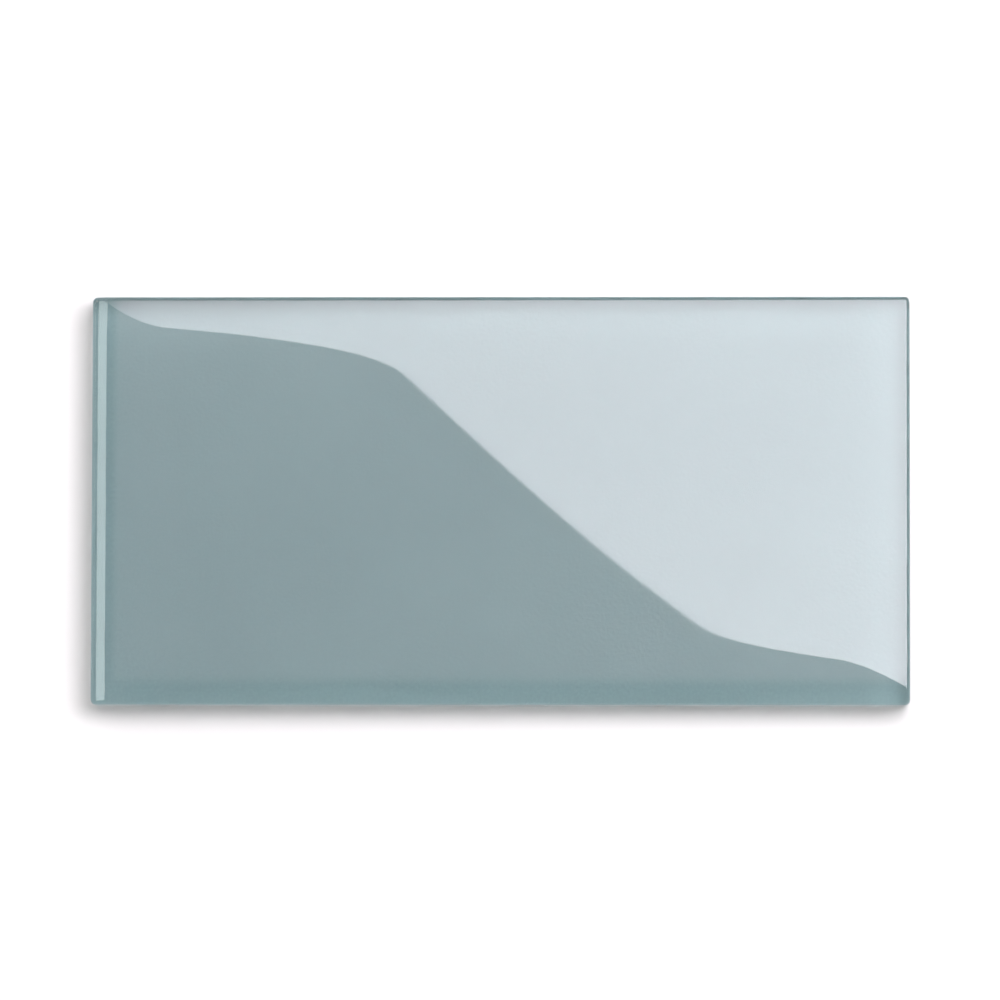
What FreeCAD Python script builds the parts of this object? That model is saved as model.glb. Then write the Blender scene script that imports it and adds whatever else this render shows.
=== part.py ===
import FreeCAD, Part
import math
import os

# Glass subway tile: one cast and fire-polished slab of clear glass, back face down.
# Frame: origin at the middle of the back face, X along the long side, Y across, +Z out of the front (glazing) face.
# All dimensions are in millimetres.

LENGTH = 152.4          # long side of the face, 6 in nominal
WIDTH = 76.2            # short side of the face, 3 in nominal
THICKNESS = 8.0         # back face to the flat middle of the front, 5/16 in nominal

PILLOW_REACH = 15.2     # width of the band inside each edge where the front rolls off
PILLOW_DROP = 0.36      # how far the front has sunk where that band meets the plane of a side
PILLOW_POWER = 3.5      # 2 is a plain arc, more makes the start of the roll-off softer

CORNER_RADIUS = 1.0     # vertical corners, seen from the front
FRONT_ARRIS = 0.9       # fire-polished round between the front and a side
BACK_ARRIS = 0.35       # small round between a side and the back face

OVERRUN = 3.0           # how far the front surface is drawn past the outline before trimming
PITCH = 1.0             # spacing of the points that the roll-off curve passes through


def drop(distance):
    """How far the front surface lies below its flat middle, at a distance inside an edge."""
    share = (PILLOW_REACH - distance) / PILLOW_REACH
    return PILLOW_DROP * share ** PILLOW_POWER if share > 0 else 0.0


def stations(half):
    """Places across the tile where the curve is set: close together in the two roll-off bands, wide in the flat middle."""
    band = int(round((PILLOW_REACH + OVERRUN) / PITCH))
    outer = [half + OVERRUN - PITCH * i for i in range(band + 1)]
    inner = outer[-1]
    steps = max(2, int(round(inner / 4.0)))
    middle = [inner * (1 - (i + 1) / steps) for i in range(steps)]
    right = outer + middle
    return [-v for v in right] + [v for v in reversed(right[:-1])]


def rolloff_curve(half):
    """Cubic curve over the tile's width, with the place as X and the drop as Z."""
    places = stations(half)
    points = [FreeCAD.Vector(p, 0, drop(half - abs(p))) for p in places]
    curve = Part.BSplineCurve()
    curve.interpolate(Points=points, Parameters=[p - places[0] for p in places])
    return curve


def front_face():
    """The pillowed front: the sum of one roll-off along X and one along Y, so a corner sinks smoothly with no crease."""
    along = rolloff_curve(LENGTH / 2)
    across = rolloff_curve(WIDTH / 2)
    poles = [
        [FreeCAD.Vector(p.x, q.x, THICKNESS - p.z - q.z) for q in across.getPoles()]
        for p in along.getPoles()
    ]
    surface = Part.BSplineSurface()
    surface.buildFromPolesMultsKnots(
        poles,
        along.getMultiplicities(),
        across.getMultiplicities(),
        along.getKnots(),
        across.getKnots(),
        False,
        False,
        along.Degree,
        across.Degree,
    )
    return surface.toShape()


def is_vertical(edge):
    return abs(edge.BoundBox.ZLength) > THICKNESS / 2


def slab():
    """Square-edged blank, taller than the tile, with its four vertical corners rounded."""
    blank = Part.makeBox(
        LENGTH,
        WIDTH,
        THICKNESS + 1.0,
        FreeCAD.Vector(-LENGTH / 2, -WIDTH / 2, 0),
    )
    return blank.makeFillet(CORNER_RADIUS, [e for e in blank.Edges if is_vertical(e)])


def tile():
    above = front_face().extrude(FreeCAD.Vector(0, 0, 3.0))
    body = slab().cut(above)
    body = body.Solids[0]
    rim = [
        e
        for e in body.Edges
        if e.BoundBox.ZMin > THICKNESS / 2 and e.BoundBox.ZLength < 1.0
    ]
    body = body.makeFillet(FRONT_ARRIS, rim)
    foot = [e for e in body.Edges if e.BoundBox.ZMax < 1e-6]
    body = body.makeFillet(BACK_ARRIS, foot)
    return body.Solids[0]


os.makedirs("parts", exist_ok=True)

glass_tile = tile()
glass_tile.exportStep("parts/glass_tile.step")

box = glass_tile.optimalBoundingBox(False, False)
print("valid", glass_tile.isValid(), "faces", len(glass_tile.Faces))
print("box", [round(v, 4) for v in (box.XMin, box.XMax, box.YMin, box.YMax, box.ZMin, box.ZMax)])
print("volume cm3", round(glass_tile.Volume / 1000, 3))
print("front middle", round(THICKNESS, 3), "edge drop", round(drop(0), 3), "corner drop", round(2 * drop(0), 3))
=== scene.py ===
import math

import bpy
import numpy as np
from mathutils import Matrix, Vector, noise


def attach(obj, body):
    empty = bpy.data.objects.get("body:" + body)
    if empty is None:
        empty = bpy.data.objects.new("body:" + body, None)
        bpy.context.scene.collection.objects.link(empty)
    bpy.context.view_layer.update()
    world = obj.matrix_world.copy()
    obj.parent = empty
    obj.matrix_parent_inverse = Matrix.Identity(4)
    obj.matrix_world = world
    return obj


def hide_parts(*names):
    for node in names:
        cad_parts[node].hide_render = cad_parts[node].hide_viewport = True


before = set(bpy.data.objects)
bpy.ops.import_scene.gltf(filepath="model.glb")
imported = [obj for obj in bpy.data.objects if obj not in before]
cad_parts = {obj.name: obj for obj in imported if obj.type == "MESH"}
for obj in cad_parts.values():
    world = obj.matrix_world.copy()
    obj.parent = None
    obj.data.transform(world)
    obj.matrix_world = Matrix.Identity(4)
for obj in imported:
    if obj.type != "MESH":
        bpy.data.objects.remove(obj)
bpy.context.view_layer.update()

MM = 0.001

# ---------------------------------------------------------------- sizes, in millimetres, the same as the CAD solid's
HALF_X = 76.2
HALF_Y = 38.1
THICK = 8.0
REACH = 15.2
DROP = 0.36
POWER = 3.5
CORNER = 1.0
ARRIS = 0.9
BACK_ARRIS = 0.35

GLASS_FOOT = 0.035      # the glass ends this far above the floor, just inside the fired colour coat
COAT_TOP = 0.075        # the coat's upper side, met from inside the glass
RIPPLE = 0.0015         # depth of the small ripples that fire polishing leaves in the front
RIGHT_SHARE = 0.5       # the right end has slumped only this much of the nominal roll-off

# Slow waves of the front: half-waves along X, half-waves along Y, height in millimetres.
WAVES = (
    (1, 0, 0.0146),
    (0, 1, 0.0355),
    (1, 1, -0.0060),
    (2, 0, -0.0104),
    (0, 2, 0.0084),
    (2, 1, -0.0085),
    (3, 0, -0.0125),
    (3, 1, 0.0088),
    (1, 2, -0.0016),
    (4, 0, -0.0029),
    (4, 1, 0.0042),
)


def rolloff(distance):
    share = np.clip((REACH - distance) / REACH, 0.0, None)
    return DROP * share**POWER


def wave(x, y):
    u = math.pi * (x / (2 * HALF_X) + 0.5)
    v = math.pi * (y / (2 * HALF_Y) + 0.5)
    return sum(height * math.cos(m * u) * math.cos(n * v) for m, n, height in WAVES)


CREST = max(wave(HALF_X * i / 20, HALF_Y * j / 20) for i in range(-20, 21) for j in range(-20, 21)) + 0.0005


def ripple(x, y):
    """Unevenness of the fire-polished front, counted downwards from the level of its highest place, in millimetres."""
    p = Vector((x / 17.0 + 3.7, y / 15.0 - 1.9, 0.4))
    q = Vector((x / 8.0 - 5.1, y / 7.0 + 2.3, 7.7))
    v = 0.8 * noise.noise(p) + 0.2 * noise.noise(q)
    inside = min(HALF_X - abs(x), HALF_Y - abs(y))
    calm = min(max((inside - 1.5) / 6.0, 0.0), 1.0)
    calm = calm * calm * (3 - 2 * calm)
    return CREST - wave(x, y) + RIPPLE * (0.5 - 0.5 * calm * min(max(v, -1.0), 1.0))


def front(x, y):
    return (
        THICK
        - float(rolloff(HALF_X - abs(x))) * (RIGHT_SHARE if x > 0 else 1.0)
        - float(rolloff(HALF_Y - abs(y)))
        - ripple(x, y)
    )


def front_normal(x, y, step=0.05):
    gx = (front(x + step, y) - front(x - step, y)) / (2 * step)
    gy = (front(x, y + step) - front(x, y - step)) / (2 * step)
    return Vector((-gx, -gy, 1.0)).normalized()


def stations(half, fine=0.6, coarse=2.0):
    """Places along one side, between the corner rounds: close where the front rolls off, wide in the middle."""
    end = half - CORNER
    start = half - REACH - 1.0
    n = int(math.ceil((end - start) / fine))
    outer = [start + (end - start) * i / n for i in range(1, n + 1)]
    m = int(math.ceil(start / coarse))
    inner = [start * i / m for i in range(1, m + 1)]
    right = inner + outer
    return [-v for v in reversed(right)] + [0.0] + right


def ring_places(xs, ys, half_x, half_y, corner, arcs):
    """Round the outline anticlockwise: (point on the outline, outward direction, its place on the inner grid's border)."""
    nx, ny = len(xs), len(ys)
    ring = []

    def arc(cx, cy, start, grid):
        for k in range(1, arcs):
            a = math.radians(start + 90.0 * k / arcs)
            n = (math.cos(a), math.sin(a))
            ring.append(((cx + corner * n[0], cy + corner * n[1]), n, grid))

    for i, x in enumerate(xs):
        ring.append(((x, -half_y), (0.0, -1.0), (i, 0)))
    arc(half_x - corner, -half_y + corner, -90, (nx - 1, 0))
    for j, y in enumerate(ys):
        ring.append(((half_x, y), (1.0, 0.0), (nx - 1, j)))
    arc(half_x - corner, half_y - corner, 0, (nx - 1, ny - 1))
    for i in range(nx - 1, -1, -1):
        ring.append(((xs[i], half_y), (0.0, 1.0), (i, ny - 1)))
    arc(-half_x + corner, half_y - corner, 90, (0, ny - 1))
    for j in range(ny - 1, -1, -1):
        ring.append(((-half_x, ys[j]), (-1.0, 0.0), (0, j)))
    arc(-half_x + corner, -half_y + corner, 180, (0, 0))
    return ring


class Shell:
    """Vertices with their true normals, and faces, in millimetres."""

    def __init__(self):
        self.points, self.normals, self.faces = [], [], []

    def point(self, p, n):
        self.points.append(tuple(p))
        self.normals.append(tuple(Vector(n).normalized()))
        return len(self.points) - 1

    def face(self, *corners):
        kept = [c for i, c in enumerate(corners) if c != corners[i - 1]]
        if len(set(kept)) >= 3:
            self.faces.append(kept)

    def grid(self, xs, ys, height, normal, up):
        rows = [[self.point((x, y, height(x, y)), normal(x, y)) for y in ys] for x in xs]
        for i in range(len(xs) - 1):
            for j in range(len(ys) - 1):
                quad = (rows[i][j], rows[i + 1][j], rows[i + 1][j + 1], rows[i][j + 1])
                self.face(*(quad if up else quad[::-1]))
        return rows

    def band(self, upper, lower):
        """Faces between two rings with as many places each, the first one above or inside the second."""
        n = len(upper)
        for k in range(n):
            m = (k + 1) % n
            self.face(upper[k], lower[k], lower[m], upper[m])

    def to_object(self, name, material):
        mesh = bpy.data.meshes.new(name)
        mesh.from_pydata([(x * MM, y * MM, z * MM) for x, y, z in self.points], [], self.faces)
        mesh.validate()
        mesh.polygons.foreach_set("use_smooth", [True] * len(mesh.polygons))
        mesh.normals_split_custom_set_from_vertices(self.normals)
        mesh.update()
        obj = bpy.data.objects.new(name, mesh)
        obj.data.materials.append(material)
        bpy.context.scene.collection.objects.link(obj)
        return obj


def glass_body(material):
    """The clear slab: pillowed front, round front arris, upright sides, small back arris, flat back."""
    xs, ys = stations(HALF_X), stations(HALF_Y)
    ring = ring_places(xs, ys, HALF_X, HALF_Y, CORNER, 10)
    shell = Shell()
    top = shell.grid(xs, ys, front, front_normal, True)
    last = [top[i][j] for _, _, (i, j) in ring]

    profiles = []
    for (ox, oy), (nx, ny), _ in ring:
        lean = 0.08
        for _ in range(4):
            t = ARRIS * (1 - math.sin(lean))
            e = 0.02
            outer = front(ox - (t - e) * nx, oy - (t - e) * ny)
            inner = front(ox - (t + e) * nx, oy - (t + e) * ny)
            lean = math.atan((inner - outer) / (2 * e))
        t = ARRIS * (1 - math.sin(lean))
        x, y = ox - t * nx, oy - t * ny
        centre = front(x, y) - ARRIS * math.cos(lean)
        climb = (front(x - e * ny, y + e * nx) - front(x + e * ny, y - e * nx)) / (2 * e)
        profiles.append((lean, centre, climb))

    steps = 12
    for s in range(steps + 1):
        row = []
        for ((ox, oy), (nx, ny), _), (lean, centre, climb) in zip(ring, profiles):
            a = lean + (math.pi / 2 - lean) * s / steps
            t = ARRIS * (1 - math.sin(a))
            p = (ox - t * nx, oy - t * ny, centre + ARRIS * math.cos(a))
            along = climb * math.cos(a)
            row.append(shell.point(p, (nx * math.sin(a) + ny * along, ny * math.sin(a) - nx * along, math.cos(a))))
        shell.band(last, row)
        last = row
    foot = GLASS_FOOT + BACK_ARRIS
    for s in range(1, 7):
        row = []
        for ((ox, oy), (nx, ny), _), (_, centre, _) in zip(ring, profiles):
            row.append(shell.point((ox, oy, centre + (foot - centre) * s / 6), (nx, ny, 0)))
        shell.band(last, row)
        last = row
    for s in range(1, 6):
        a = math.pi / 2 * s / 5
        t, z = BACK_ARRIS * (1 - math.cos(a)), foot - BACK_ARRIS * math.sin(a)
        row = []
        for (ox, oy), (nx, ny), _ in ring:
            n = (nx * math.cos(a), ny * math.cos(a), -math.sin(a))
            row.append(shell.point((ox - t * nx, oy - t * ny, z), n))
        shell.band(last, row)
        last = row
    under = shell.grid(xs, ys, lambda x, y: GLASS_FOOT, lambda x, y: (0, 0, -1), False)
    shell.band(last, [under[i][j] for _, _, (i, j) in ring])
    return shell.to_object("glass_body", material)


def colour_coat(material):
    """The fired colour on the back: a film that stops a little short of each edge, along a slightly uneven line."""
    left, right, low, high = 0.45, 0.45, 0.40, 0.45
    half_x, half_y = HALF_X - (left + right) / 2, HALF_Y - (low + high) / 2
    cx, cy = (left - right) / 2, (low - high) / 2
    n_x, n_y = 120, 62
    corner = 0.8
    xs = [(-1 + 2 * i / n_x) * (half_x - corner) for i in range(n_x + 1)]
    ys = [(-1 + 2 * i / n_y) * (half_y - corner) for i in range(n_y + 1)]
    ring = ring_places(xs, ys, half_x, half_y, corner, 6)

    def waver(x, y):
        slow = noise.noise(Vector((x / 7.0, y / 7.0, 21.0)))
        quick = noise.noise(Vector((x / 1.9, y / 1.9, 33.0)))
        return 0.08 * slow + 0.04 * quick

    shell = Shell()
    top = shell.grid(
        [x + cx for x in xs], [y + cy for y in ys], lambda x, y: COAT_TOP, lambda x, y: (0, 0, 1), True
    )
    last = [top[i][j] for _, _, (i, j) in ring]
    edge = [waver(ox, oy) for (ox, oy), _, _ in ring]
    for t, z, tilt in (
        (0.04, COAT_TOP, 0.0),
        (0.0, COAT_TOP - 0.03, 0.9),
        (0.0, 0.03, -0.9 + math.pi),
        (0.04, 0.0, math.pi),
    ):
        row = []
        for ((ox, oy), (nx, ny), _), e in zip(ring, edge):
            d = t + e
            n = (nx * math.sin(tilt), ny * math.sin(tilt), math.cos(tilt))
            row.append(shell.point((ox - d * nx + cx, oy - d * ny + cy, z), n))
        shell.band(last, row)
        last = row
    under = shell.grid(
        [x + cx for x in xs], [y + cy for y in ys], lambda x, y: 0.0, lambda x, y: (0, 0, -1), False
    )
    shell.band(last, [under[i][j] for _, _, (i, j) in ring])
    return shell.to_object("colour_coat", material)


# ---------------------------------------------------------------- materials
def nodes_of(name):
    material = bpy.data.materials.new(name)
    material.use_nodes = True
    tree = material.node_tree
    shader = tree.nodes["Principled BSDF"]
    return material, tree, shader


def add(tree, kind, **settings):
    node = tree.nodes.new(kind)
    for key, value in settings.items():
        if key in node.inputs:
            node.inputs[key].default_value = value
        else:
            setattr(node, key, value)
    return node


def blotches(tree, scale, detail, low, high, place="Object"):
    """A noise over the piece, as a number that runs from low to high."""
    where = add(tree, "ShaderNodeTexCoord")
    cloud = add(tree, "ShaderNodeTexNoise")
    cloud.inputs["Scale"].default_value = scale
    cloud.inputs["Detail"].default_value = detail
    tree.links.new(where.outputs[place], cloud.inputs["Vector"])
    spread = add(tree, "ShaderNodeMapRange")
    spread.inputs["From Min"].default_value = 0.3
    spread.inputs["From Max"].default_value = 0.7
    spread.inputs["To Min"].default_value = low
    spread.inputs["To Max"].default_value = high
    tree.links.new(cloud.outputs["Fac"], spread.inputs["Value"])
    return spread.outputs["Result"]


def clear_glass():
    """Clear soda-lime glass: a faint green in its depth, and a fire polish that is a little less sharp in places."""
    material, tree, shader = nodes_of("clear_glass")
    shader.inputs["Base Color"].default_value = (1, 1, 1, 1)
    shader.inputs["IOR"].default_value = 1.52
    shader.inputs["Transmission Weight"].default_value = 1.0
    tree.links.new(blotches(tree, 38.0, 3.0, 0.006, 0.014), shader.inputs["Roughness"])
    tint = add(tree, "ShaderNodeVolumeAbsorption")
    tint.inputs["Color"].default_value = (0.62, 0.86, 0.78, 1)
    tint.inputs["Density"].default_value = 16.0
    out = tree.nodes["Material Output"]
    tree.links.new(tint.outputs["Volume"], out.inputs["Volume"])
    return material


def fired_colour():
    """Grey-green enamel: soft clouds from how thick it was printed and a fine speckle of its grains.

    Its bare side, which faces down, is rougher, and has the faint strokes along X that it was spread with.
    """
    material, tree, shader = nodes_of("fired_colour")
    clouds = blotches(tree, 24.0, 3.0, 0.0, 1.0)
    thick = add(tree, "ShaderNodeMix", data_type="RGBA")
    thick.inputs["A"].default_value = (0.244, 0.349, 0.365, 1)
    thick.inputs["B"].default_value = (0.258, 0.367, 0.382, 1)
    tree.links.new(clouds, thick.inputs["Factor"])
    grains = blotches(tree, 1900.0, 2.0, 0.965, 1.035)
    speckled = add(tree, "ShaderNodeVectorMath", operation="SCALE")
    tree.links.new(thick.outputs["Result"], speckled.inputs["Vector"])
    tree.links.new(grains, speckled.inputs["Scale"])

    place = add(tree, "ShaderNodeTexCoord")
    split = add(tree, "ShaderNodeSeparateXYZ")
    tree.links.new(place.outputs["Object"], split.inputs["Vector"])
    bare = add(tree, "ShaderNodeMapRange")
    bare.inputs["From Min"].default_value = 0.06 * MM
    bare.inputs["From Max"].default_value = 0.01 * MM
    tree.links.new(split.outputs["Z"], bare.inputs["Value"])
    stretch = add(tree, "ShaderNodeVectorMath", operation="MULTIPLY")
    stretch.inputs[1].default_value = (22.0, 520.0, 1.0)
    tree.links.new(place.outputs["Object"], stretch.inputs[0])
    streaks = add(tree, "ShaderNodeTexNoise")
    streaks.inputs["Scale"].default_value = 1.0
    streaks.inputs["Detail"].default_value = 4.0
    tree.links.new(stretch.outputs["Vector"], streaks.inputs["Vector"])
    shade = add(tree, "ShaderNodeMapRange")
    for socket, number in (("From Min", 0.3), ("From Max", 0.7), ("To Min", -0.14), ("To Max", 0.05)):
        shade.inputs[socket].default_value = number
    tree.links.new(streaks.outputs["Fac"], shade.inputs["Value"])
    strokes = add(tree, "ShaderNodeMath", operation="MULTIPLY_ADD")
    strokes.inputs[2].default_value = 1.0
    tree.links.new(shade.outputs["Result"], strokes.inputs[0])
    tree.links.new(bare.outputs["Result"], strokes.inputs[1])
    stroked = add(tree, "ShaderNodeVectorMath", operation="SCALE")
    tree.links.new(speckled.outputs["Vector"], stroked.inputs["Vector"])
    tree.links.new(strokes.outputs[0], stroked.inputs["Scale"])
    tree.links.new(stroked.outputs["Vector"], shader.inputs["Base Color"])

    dull = add(tree, "ShaderNodeMath", operation="MULTIPLY_ADD")
    dull.inputs[1].default_value = 0.16
    tree.links.new(bare.outputs["Result"], dull.inputs[0])
    tree.links.new(blotches(tree, 420.0, 4.0, 0.42, 0.62), dull.inputs[2])
    tree.links.new(dull.outputs[0], shader.inputs["Roughness"])
    shader.inputs["Specular IOR Level"].default_value = 0.15
    grain = add(tree, "ShaderNodeBump")
    grain.inputs["Strength"].default_value = 0.35
    grain.inputs["Distance"].default_value = 0.00004
    tree.links.new(blotches(tree, 1400.0, 3.0, 0.0, 1.0), grain.inputs["Height"])
    tree.links.new(grain.outputs["Normal"], shader.inputs["Normal"])
    return material


def pale_floor():
    """White sweep: matt, with its far part lit up so that it stays as pale as the part by the tile."""
    material, tree, shader = nodes_of("pale_floor")
    shader.inputs["Base Color"].default_value = (0.645, 0.655, 0.645, 1)
    shader.inputs["Roughness"].default_value = 0.9
    shader.inputs["Specular IOR Level"].default_value = 0.1
    place = add(tree, "ShaderNodeTexCoord")
    distance = add(tree, "ShaderNodeVectorMath", operation="LENGTH")
    tree.links.new(place.outputs["Object"], distance.inputs["Vector"])
    rise = add(tree, "ShaderNodeMapRange", interpolation_type="SMOOTHSTEP")
    rise.inputs["From Min"].default_value = 0.09
    rise.inputs["From Max"].default_value = 0.8
    rise.inputs["To Max"].default_value = 1.0
    tree.links.new(distance.outputs["Value"], rise.inputs["Value"])
    shader.inputs["Emission Color"].default_value = (1, 1, 1, 1)
    tree.links.new(rise.outputs["Result"], shader.inputs["Emission Strength"])
    return material


glass = glass_body(clear_glass())
coat = colour_coat(fired_colour())
for piece, name in ((glass, "glass"), (coat, "back_enamel")):
    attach(piece, "root")
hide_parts("glass_tile")

# ---------------------------------------------------------------- floor
floor_mesh = bpy.data.meshes.new("floor")
rim = 96
floor_mesh.from_pydata(
    [(7 * math.cos(2 * math.pi * i / rim), 7 * math.sin(2 * math.pi * i / rim), -0.00005) for i in range(rim)],
    [],
    [list(range(rim))],
)
floor = bpy.data.objects.new("floor", floor_mesh)
floor.data.materials.append(pale_floor())
bpy.context.scene.collection.objects.link(floor)

# ---------------------------------------------------------------- camera
CAMERA = Vector((0.0439, -0.1139, 1.5))
camera_data = bpy.data.cameras.new("camera")
camera = bpy.data.objects.new("camera", camera_data)
bpy.context.scene.collection.objects.link(camera)
aim = Vector((0, 0, 0.008))
back = (CAMERA - aim).normalized()
right = (Vector((1, 0, 0)) - back * back.x).normalized()
camera.matrix_world = Matrix((right, back.cross(right), back)).transposed().to_4x4()
camera.location = CAMERA
camera_data.sensor_width = 36.0
camera_data.lens = 36.0 * (CAMERA - aim).length / 0.186
camera_data.clip_start = 0.01
camera_data.clip_end = 50.0
bpy.context.scene.camera = camera

# ---------------------------------------------------------------- light
LIGHT_HEIGHT = 1.1


def lamp(
    name, corner, along, length, width, radiance, colour=(1, 1, 1), slope=(0, 0), most=12.0, fade=(0, 0), low=None
):
    """A rectangle of light that faces down.

    Its first corner is given, its length runs in the direction along, and its width to the left of that. The radiance is
    that of the first corner, and slope adds so much a metre along the length and along the width, up to most. fade is how
    far in from the first two sides it takes to come up to that light. low is the Y below which the light is masked off.
    """
    along = Vector((along[0], along[1], 0)).normalized()
    across = Vector((-along.y, along.x, 0))
    data = bpy.data.lights.new(name, "AREA")
    data.shape = "RECTANGLE"
    data.size, data.size_y = length, width
    data.color = colour
    data.energy = math.pi * length * width
    data.use_nodes = True
    tree = data.node_tree
    emission = next(n for n in tree.nodes if n.type == "EMISSION")
    place = add(tree, "ShaderNodeNewGeometry")
    split = add(tree, "ShaderNodeSeparateXYZ")
    tree.links.new(place.outputs["Parametric"], split.inputs["Vector"])
    value = None
    for axis, size, rise in (("X", length, slope[0]), ("Y", width, slope[1])):
        term = add(tree, "ShaderNodeMath", operation="MULTIPLY_ADD")
        term.inputs[1].default_value = rise * size
        term.inputs[2].default_value = radiance
        tree.links.new(split.outputs[axis], term.inputs[0])
        if value is not None:
            tree.links.new(value, term.inputs[2])
        value = term.outputs[0]
    cap = add(tree, "ShaderNodeMath", operation="MINIMUM")
    cap.inputs[1].default_value = most
    tree.links.new(value, cap.inputs[0])
    value = cap.outputs[0]
    for axis, size, reach in (("X", length, fade[0]), ("Y", width, fade[1])):
        if reach:
            ramp = add(tree, "ShaderNodeMapRange", interpolation_type="SMOOTHSTEP")
            ramp.inputs["From Max"].default_value = reach / size
            tree.links.new(split.outputs[axis], ramp.inputs["Value"])
            times = add(tree, "ShaderNodeMath", operation="MULTIPLY")
            tree.links.new(value, times.inputs[0])
            tree.links.new(ramp.outputs["Result"], times.inputs[1])
            value = times.outputs[0]
    if low is not None:
        y = None
        for axis, run in (("X", along.y * length), ("Y", across.y * width)):
            term = add(tree, "ShaderNodeMath", operation="MULTIPLY_ADD")
            term.inputs[1].default_value = run
            term.inputs[2].default_value = corner[1]
            tree.links.new(split.outputs[axis], term.inputs[0])
            if y is not None:
                tree.links.new(y, term.inputs[2])
            y = term.outputs[0]
        mask = add(tree, "ShaderNodeMapRange", interpolation_type="SMOOTHSTEP")
        mask.inputs["From Min"].default_value = low - 0.006
        mask.inputs["From Max"].default_value = low
        tree.links.new(y, mask.inputs["Value"])
        times = add(tree, "ShaderNodeMath", operation="MULTIPLY")
        tree.links.new(value, times.inputs[0])
        tree.links.new(mask.outputs["Result"], times.inputs[1])
        value = times.outputs[0]
    tree.links.new(value, emission.inputs["Strength"])
    obj = bpy.data.objects.new(name, data)
    obj.location = Vector(corner) + along * length / 2 + across * width / 2
    obj.rotation_euler = (0, 0, math.atan2(along.y, along.x))
    bpy.context.scene.collection.objects.link(obj)
    obj.visible_camera = False
    return obj


# The softbox's lower edge is the line that the front mirrors as the long slanting border across the tile.
EDGE_ANGLE = 0.8781     # of the direction square to that line, from +X
EDGE_OFFSET = 0.0565    # of the line from the point above the origin
square = Vector((math.cos(EDGE_ANGLE), math.sin(EDGE_ANGLE), 0))
edge_along = Vector((square.y, -square.x, 0))
foot_point = square * EDGE_OFFSET + Vector((0, 0, LIGHT_HEIGHT))
softbox = lamp(
    "softbox",
    foot_point - edge_along * 0.55,
    edge_along,
    1.2,
    0.9,
    4.6,
    (0.985, 0.95, 1.0),
    slope=(6.0, 3.0),
    fade=(0.38, 0.0015),
    low=-0.074,
)
ceiling = lamp(
    "ceiling",
    (-0.258, -0.075, 1.13),
    (1, 0),
    0.963,
    0.85,
    0.55,
    (1.0, 0.74, 0.78),
    slope=(2.4, 2.6),
    most=1.5,
    fade=(0.035, 0.05),
)
strip = lamp("strip", (-0.318, -0.25, 1.1), (1, 0), 0.045, 0.6, 5.2, (0.93, 1.0, 0.97), fade=(0.004, 0))

world = bpy.data.worlds.new("room")
bpy.context.scene.world = world
world.use_nodes = True
tree = world.node_tree
sky = tree.nodes["Background"]
where = add(tree, "ShaderNodeTexCoord")
split = add(tree, "ShaderNodeSeparateXYZ")
tree.links.new(where.outputs["Generated"], split.inputs["Vector"])


def smooth(value, start, end, first, last):
    """A number that goes softly from first to last while value goes from start to end."""
    step = add(tree, "ShaderNodeMapRange", interpolation_type="SMOOTHSTEP")
    for name, number in (("From Min", start), ("From Max", end), ("To Min", first), ("To Max", last)):
        step.inputs[name].default_value = number
    tree.links.new(value, step.inputs["Value"])
    return step.outputs["Result"]


def toward(direction):
    """How far a look into the room goes in a direction."""
    dot = add(tree, "ShaderNodeVectorMath", operation="DOT_PRODUCT")
    dot.inputs[1].default_value = direction
    tree.links.new(where.outputs["Generated"], dot.inputs[0])
    return dot.outputs["Value"]


def both(operation, a, b):
    node = add(tree, "ShaderNodeMath", operation=operation)
    tree.links.new(a, node.inputs[0])
    tree.links.new(b, node.inputs[1])
    return node.outputs[0]


# The room: as white as the far floor at the very horizon, then pale, then dim overhead.
light = both(
    "ADD",
    smooth(split.outputs["Z"], 0.10, 0.50, 0.72, 0.16),
    smooth(split.outputs["Z"], 0.005, 0.045, 0.43, 0.0),
)

# Two bright walls of the room, for the glossy front to mirror in slanting views: the direction of each wall's middle,
# the height of its lower edge there, how that edge slants, the height of its top, and its light.
for facing, foot, slant, top, gain in (
    ((-0.7071, 0.7071), 0.4226, 0.33, 0.72, 2.3),
    ((0.7071, -0.7071), 0.2588, 0.20, 0.50, 1.1),
):
    side = (facing[1], -facing[0])
    across = toward((side[0], side[1], 0.0))
    lower = smooth(toward((side[0] * slant, side[1] * slant, 1.0)), foot - 0.0006, foot + 0.0006, 0.0, gain)
    upper = smooth(split.outputs["Z"], top, top + 0.12, 1.0, 0.0)
    front_side = smooth(toward((facing[0], facing[1], 0.0)), 0.0, 0.1, 0.0, 1.0)
    left_end = smooth(across, -0.5, -0.4, 0.0, 1.0)
    right_end = smooth(across, 0.4, 0.5, 1.0, 0.0)
    wall = both("MULTIPLY", lower, upper)
    for limit in (front_side, left_end, right_end):
        wall = both("MULTIPLY", wall, limit)
    light = both("ADD", light, wall)
tree.links.new(light, sky.inputs["Strength"])
sky.inputs["Color"].default_value = (1, 1, 1, 1)

scene = bpy.context.scene
scene.view_settings.view_transform = "Standard"
scene.view_settings.look = "None"
